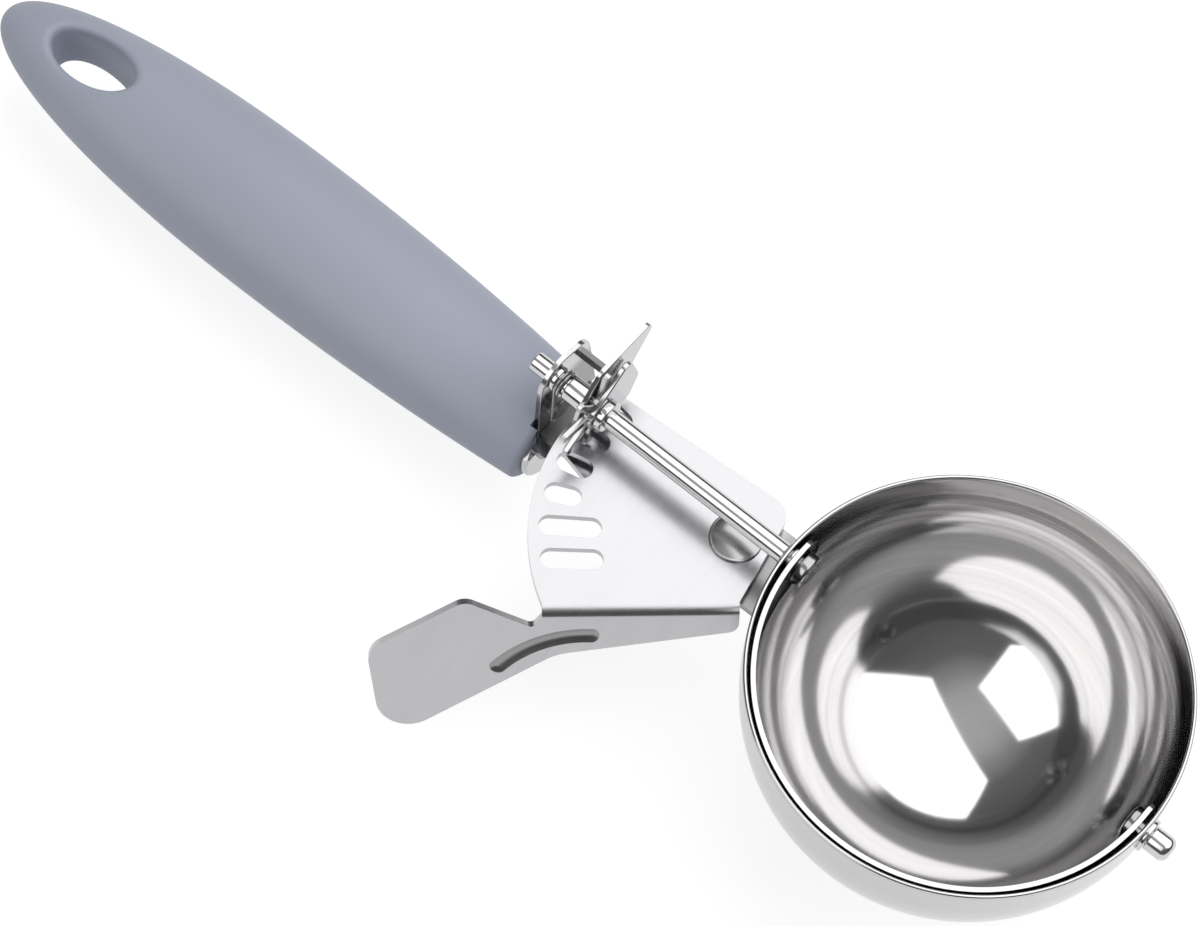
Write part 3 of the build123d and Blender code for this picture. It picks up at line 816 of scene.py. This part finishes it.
def gripTip(size):
    # rays from the centre of the hole to the outline; height is that of the ellipse at each place,
    # less a quarter circle near the hole; top, lip, wall, lip and underside follow one another
    half = size["columns"] // 2
    across = np.cos(np.arange(half + 1) * pi / half)
    endRadius = gripRadius(np.array(size["ringEnd"]), size)
    reach = size["length"] - size["widest"]
    firstTurn = np.arcsin((size["ringEnd"] - size["widest"]) / reach)
    swing = np.linspace(firstTurn, pi - firstTurn, size["outline"])[1:-1]
    edgeAlong = size["widest"] + reach * np.sin(swing)
    edgeAside = -size["widen"] * gripRadius(edgeAlong, size) * np.sign(np.cos(swing))
    outline = np.concatenate((
        np.stack((np.full(half + 1, size["ringEnd"]), size["widen"] * endRadius * across), axis=-1),
        np.stack((edgeAlong, edgeAside), axis=-1),
    ))
    ray = outline - (size["holeAt"], 0)
    distance = np.linalg.norm(ray, axis=1)
    ray = ray / distance[:, None]

    def slotReach(gap):  # polar distance to an ellipse drawn gap outside the hole
        long, wide = size["holeHalf"][0] + gap, size["holeHalf"][1] + gap
        return long * wide / np.hypot(wide * ray[:, 0], long * ray[:, 1])

    inward = np.linspace(0, 1, size["flatRows"])[:, None]
    flat = slotReach(size["lip"]) + (distance - slotReach(size["lip"])) * (1 - inward**2)
    turn = np.linspace(0, pi / 2, size["lipRows"])[1:]
    lip = np.stack([slotReach(size["lip"] * (1 - np.sin(step))) for step in turn])
    far = np.concatenate((flat, lip))
    drop = np.concatenate((np.zeros(len(flat)), size["lip"] * (1 - np.cos(turn))))[:, None]
    along = size["holeAt"] + far * ray[:, 0]
    side = far * ray[:, 1]
    radius = np.maximum(gripRadius(along, size), 1e-6)  # the tip's own radius is 0
    rise = radius * np.sqrt(np.clip(1 - (side / (size["widen"] * radius)) ** 2, 0, 1)) - drop
    wall = np.linspace(1, -1, size["wallRows"])[1:-1, None]
    alongAll = np.concatenate((along, along[-1:] + 0 * wall, along[::-1]))
    sideAll = np.concatenate((side, side[-1:] + 0 * wall, side[::-1]))
    riseAll = np.concatenate((rise, rise[-1:] * wall, -rise[::-1]))
    return gripPlace(alongAll, sideAll, riseAll, size)


makePiece("handleGrip", "handle_grip", [gripBar(grip), gripTip(grip)], "grip", grip["sharp"], caps=1)
print("handle made")

paddle = {"fold": 41.9, "distance": 9.7, "bend": 62.0, "inner": 0.7, "sheet": 1.2, "under": -7.425}
groove = {
    "start": (21.2, 3.2),
    "middle": (27.0, 4.25),
    "end": (33.8, 9.1),
    "longer": (1.9, 0.3),  # past the start and the end
    "deep": 0.35,
    "half": 1.2,
    "cap": 1.0,
    "rings": 12,
    "sideSteps": 28,
    "capSteps": 14,
    "barFrom": -45.0,  # the solid's raised bar lies behind this x,
    "barRise": (0.25, 1.0),  # and this far above the face
    "faceLevel": 0.01,  # the face's own vertices lie this close to it,
    "faceSquare": 0.999,  # and its normal to the paddle's
}


def paddleDirections(size):  # a point of the paddle's outer face, its two directions and its normal
    fold, bend = size["fold"] * pi / 180, size["bend"] * pi / 180
    along = np.array((-np.cos(fold), -np.sin(fold), 0))
    outward = np.array((np.sin(fold), -np.cos(fold), 0))
    normal = outward * np.sin(bend) + np.array((0, 0, np.cos(bend)))
    centre = np.array((leverPivot, 0, size["under"] - size["inner"])) + outward * size["distance"]
    return centre + normal * (size["inner"] + size["sheet"]), along, np.cross(normal, along), normal


def circleThrough(first, second, third):  # centre where the two bisectors cross
    first, second, third = np.array((first, second, third))
    rows = 2 * np.array((second - first, third - first))
    squares = np.array((second @ second - first @ first, third @ third - first @ first))
    return np.linalg.solve(rows, squares)


def grooveRings(size):
    # round an arc-shaped slot with oval ends: angle and distance about the middle of the arc; each
    # ring lies nearer to the slot's middle line and sinks by the sine of the way there; gives both
    # directions on the paddle's face and the height
    middle = circleThrough(size["start"], size["middle"], size["end"])
    ends = np.array((size["start"], size["end"])) - middle
    radius = np.linalg.norm(ends[0])
    first, last = np.arctan2(ends[:, 1], ends[:, 0]) + np.array((-1, 1)) * size["longer"] / radius
    cap = size["cap"] / radius
    side = np.linspace(first + cap, last - cap, size["sideSteps"])
    bow = np.linspace(-pi / 2, pi / 2, size["capSteps"])[1:-1]
    core = np.concatenate((side, last - cap + 0 * bow, side[::-1], first + cap + 0 * bow))
    ahead = np.concatenate((0 * side, cap * np.cos(bow), 0 * side, -cap * np.cos(bow)))
    aside = np.concatenate((0 * side - 1, np.sin(bow), 0 * side + 1, -np.sin(bow)))
    part = np.linspace(0, 1, size["rings"] + 1)[:, None]
    angle = core + ahead * (1 - part)
    reach = radius + size["half"] * aside * (1 - part)
    rise = -size["deep"] * np.sin(part * pi / 2) + 0 * angle
    return middle[0] + reach * np.cos(angle), middle[1] + reach * np.sin(angle), rise


def pressGroove(work):
    # the paddle's flat face and the bar on it are cut away, then the same face is filled in again
    # round the groove's first ring, and quads join the rings that follow it down
    origin, along, down, normal = paddleDirections(paddle)
    height = {vert: (np.array(vert.co) / mm - origin) @ normal for vert in work.verts}
    low, high = groove["barRise"]
    bar = {vert for vert in work.verts if low < height[vert] < high and vert.co.x / mm < groove["barFrom"]}
    flat = [
        face
        for face in work.faces
        if any(vert in bar for vert in face.verts)
        or (
            np.array(face.normal) @ normal > groove["faceSquare"]
            and all(abs(height[vert]) < groove["faceLevel"] for vert in face.verts)
        )
    ]
    bmesh.ops.delete(work, geom=flat, context="FACES")
    border = [edge for edge in work.edges if edge.is_boundary]
    u, v, rise = (part[..., None] for part in grooveRings(groove))
    places = (origin + u * along + v * down + rise * normal) * mm
    rings = [[work.verts.new(place) for place in ring] for ring in places]
    after = [ring[1:] + ring[:1] for ring in rings]
    slot = [work.edges.new(pair) for pair in zip(rings[0], after[0])]
    bmesh.ops.triangle_fill(work, edges=border + slot, use_beauty=True, normal=normal)
    for outerRing, outerNext, innerRing, innerNext in zip(rings, after, rings[1:], after[1:]):
        for corners in zip(outerRing, outerNext, innerNext, innerRing):
            work.faces.new(corners).material_index = 1


blade = {"push": 0.2, "from": 0.125, "grow": 1.6}


def pushBlade(points):  # the middle of the arc lies closer to the wall than its ends
    reach = np.hypot(points[:, 0], points[:, 1])
    share = np.clip((-points[:, 1] / reach - blade["from"]) * blade["grow"], 0, 1)
    return points * np.stack((1 + blade["push"] * share / reach,) * 2 + (1 + 0 * share,), axis=-1)


dressing = {"closer": 1e-6, "flat": 0.6, "segments": 3, "bevelFrom": 40, "sharp": 40.0}  # closer is in metres
stampings = {
    "thumbLever": {
        "node": "thumb_lever",
        "finish": "lever",
        "edge": 0.18,
        "sharp": 18.0,
        "press": pressGroove,
    },
    "spindleBracket": {"node": "spindle_bracket", "finish": "bracket", "edge": 0.12},
    "framePlate": {"node": "frame_plate", "finish": "plate"},
    "bowlSaddle": {"node": "bowl_saddle", "finish": "saddle"},
    "starPinion": {"node": "star_pinion", "finish": "stamped", "edge": 0.15},
    "stopCam": {"node": "stop_cam", "finish": "stamped"},
    "bolsterPlate": {"node": "bolster_plate", "finish": "stamped"},
    "scraperBlade": {"node": "scraper_blade", "finish": "blade", "edge": 0.12, "reshape": pushBlade},
}


def dressedCopy(name, size):
    # the node's own mesh: triangles merged to flat faces, pressed or reshaped, and its edges rounded
    node = size["node"]
    work = bmesh.new()
    work.from_mesh(frame["nodes"][node].data)
    bmesh.ops.remove_doubles(work, verts=work.verts, dist=dressing["closer"])
    flat = dressing["flat"] * pi / 180
    bmesh.ops.dissolve_limit(work, angle_limit=flat, verts=work.verts, edges=work.edges)
    if "press" in size:
        size["press"](work)
    mesh = bpy.data.meshes.new(name)
    work.to_mesh(mesh)
    work.free()
    if "reshape" in size:
        points = np.empty(len(mesh.vertices) * 3)
        mesh.vertices.foreach_get("co", points)
        mesh.vertices.foreach_set("co", size["reshape"](points.reshape(-1, 3) / mm).ravel() * mm)
    piece = finishPiece(name, node, mesh, size["finish"], size.get("sharp", dressing["sharp"]))
    # the groove's faces take the second material, painted darker: painted shade
    if "press" in size:
        mesh.materials.append(finishes["pressed"])
    if "edge" in size:
        soften = piece.modifiers.new("softEdges", "BEVEL")
        soften.width = size["edge"] * mm
        soften.segments = dressing["segments"]
        soften.limit_method = "ANGLE"
        soften.angle_limit = dressing["bevelFrom"] * pi / 180
    even = piece.modifiers.new("evenNormals", "WEIGHTED_NORMAL")
    even.keep_sharp = True


for name, size in stampings.items():
    dressedCopy(name, size)
print("stamped pieces made")

studio = {
    "height": 0.95,  # metres, of the two soft boxes above the table; their corners are shares of it
    "near": (
        (-0.6, 0.18), (0.53, -0.32), (1.55, 0.35), (1.75, 1.3),
        (1.15, 2.1), (0.1, 2.25), (-0.7, 1.75), (-0.85, 0.95),
    ),
    "far": (
        (-0.64, -0.36), (0.08, -0.57), (0.1, -1.64), (-0.4, -2.3),
        (-1.1, -2.4), (-1.6, -1.8), (-1.47, -1.1),
    ),
    "glow": 1.77,
    "skyAxis": (-0.06, -0.22, 0.97),  # brightest direction of the dim room
    "sky": ((0.0, 0.1), (0.6, 0.11), (0.8, 0.15), (0.9, 0.29), (0.96, 0.44), (1.0, 0.49)),  # cosine and grey
    "floor": -0.0311,  # metres, as is its size
    "floorSize": 3.0,
    "floorTone": 0.82,
    "floorRough": 0.9,
    "floorWhite": 1.4,
    "seenShare": 0.56,  # of plain white in what the camera sees of the floor
    "glossShare": 0.46,  # and in what the steel reflects of it
}


def flatFace(name, corners):  # one face through the corners
    mesh = bpy.data.meshes.new(name)
    mesh.from_pydata(corners, [], [tuple(range(len(corners)))])
    return mesh


def softBox(name, corners, settings):  # a glowing panel with straight sides, facing down
    height = settings["height"]
    mesh = flatFace(name, [(x * height, y * height, height) for x, y in corners])
    black, white = (0, 0, 0, 1), (1, 1, 1, 1)
    finish = Finish(name, Base_Color=black, Emission_Color=white, Emission_Strength=settings["glow"])
    mesh.materials.append(finish.done())
    panel = bpy.data.objects.new(name, mesh)
    panel.visible_camera = False
    bpy.context.scene.collection.objects.link(panel)


softBox("nearSoftBox", studio["near"], studio)
softBox("farSoftBox", studio["far"], studio)


def setWorld(settings):
    # white to the camera; in what lights and reflects, a grey that follows the cosine of the angle to
    # the brightest direction
    world = bpy.data.worlds.new("studioWorld")
    bpy.context.scene.world = world
    world.use_nodes = True
    nodes = Nodes(world.node_tree)
    direction = nodes.add("ShaderNodeTexCoord", out="Generated")
    cosine = nodes.vectorMaths("DOT_PRODUCT", {0: direction, 1: settings["skyAxis"]}, out="Value")
    room = nodes.add("ShaderNodeBackground", sockets={0: nodes.ramp(cosine, settings["sky"])})
    white = nodes.add("ShaderNodeBackground", sockets={0: (1, 1, 1, 1)})
    seen = nodes.add("ShaderNodeLightPath", out="Is Camera Ray")
    both = nodes.add("ShaderNodeMixShader", sockets={0: seen, 1: room, 2: white})
    nodes.add("ShaderNodeOutputWorld", sockets={0: both})


setWorld(studio)


def layFloor(settings):  # lit grey that keeps a light shadow, with a share of plain white mixed in
    half, height = settings["floorSize"], settings["floor"]
    corners = [(-half, -half, height), (half, -half, height), (half, half, height), (-half, half, height)]
    mesh = flatFace("studioFloor", corners)
    tone = (*[settings["floorTone"]] * 3, 1)
    finish = Finish("paleFloor", Roughness=settings["floorRough"], Base_Color=tone)
    seen = finish.add("ShaderNodeLightPath", out="Is Camera Ray")
    gloss = finish.add("ShaderNodeLightPath", out="Is Glossy Ray")
    share = seen * settings["seenShare"] + gloss * settings["glossShare"]
    white = finish.add("ShaderNodeEmission", sockets={"Strength": settings["floorWhite"]})
    both = finish.add("ShaderNodeMixShader", sockets={0: share, 1: finish.shader, 2: white})
    mesh.materials.append(finish.done(both))
    floor = bpy.data.objects.new("studioFloor", mesh)
    bpy.context.scene.collection.objects.link(floor)


layFloor(studio)
bpy.context.scene.view_settings.view_transform = "Standard"
print("studio lit")
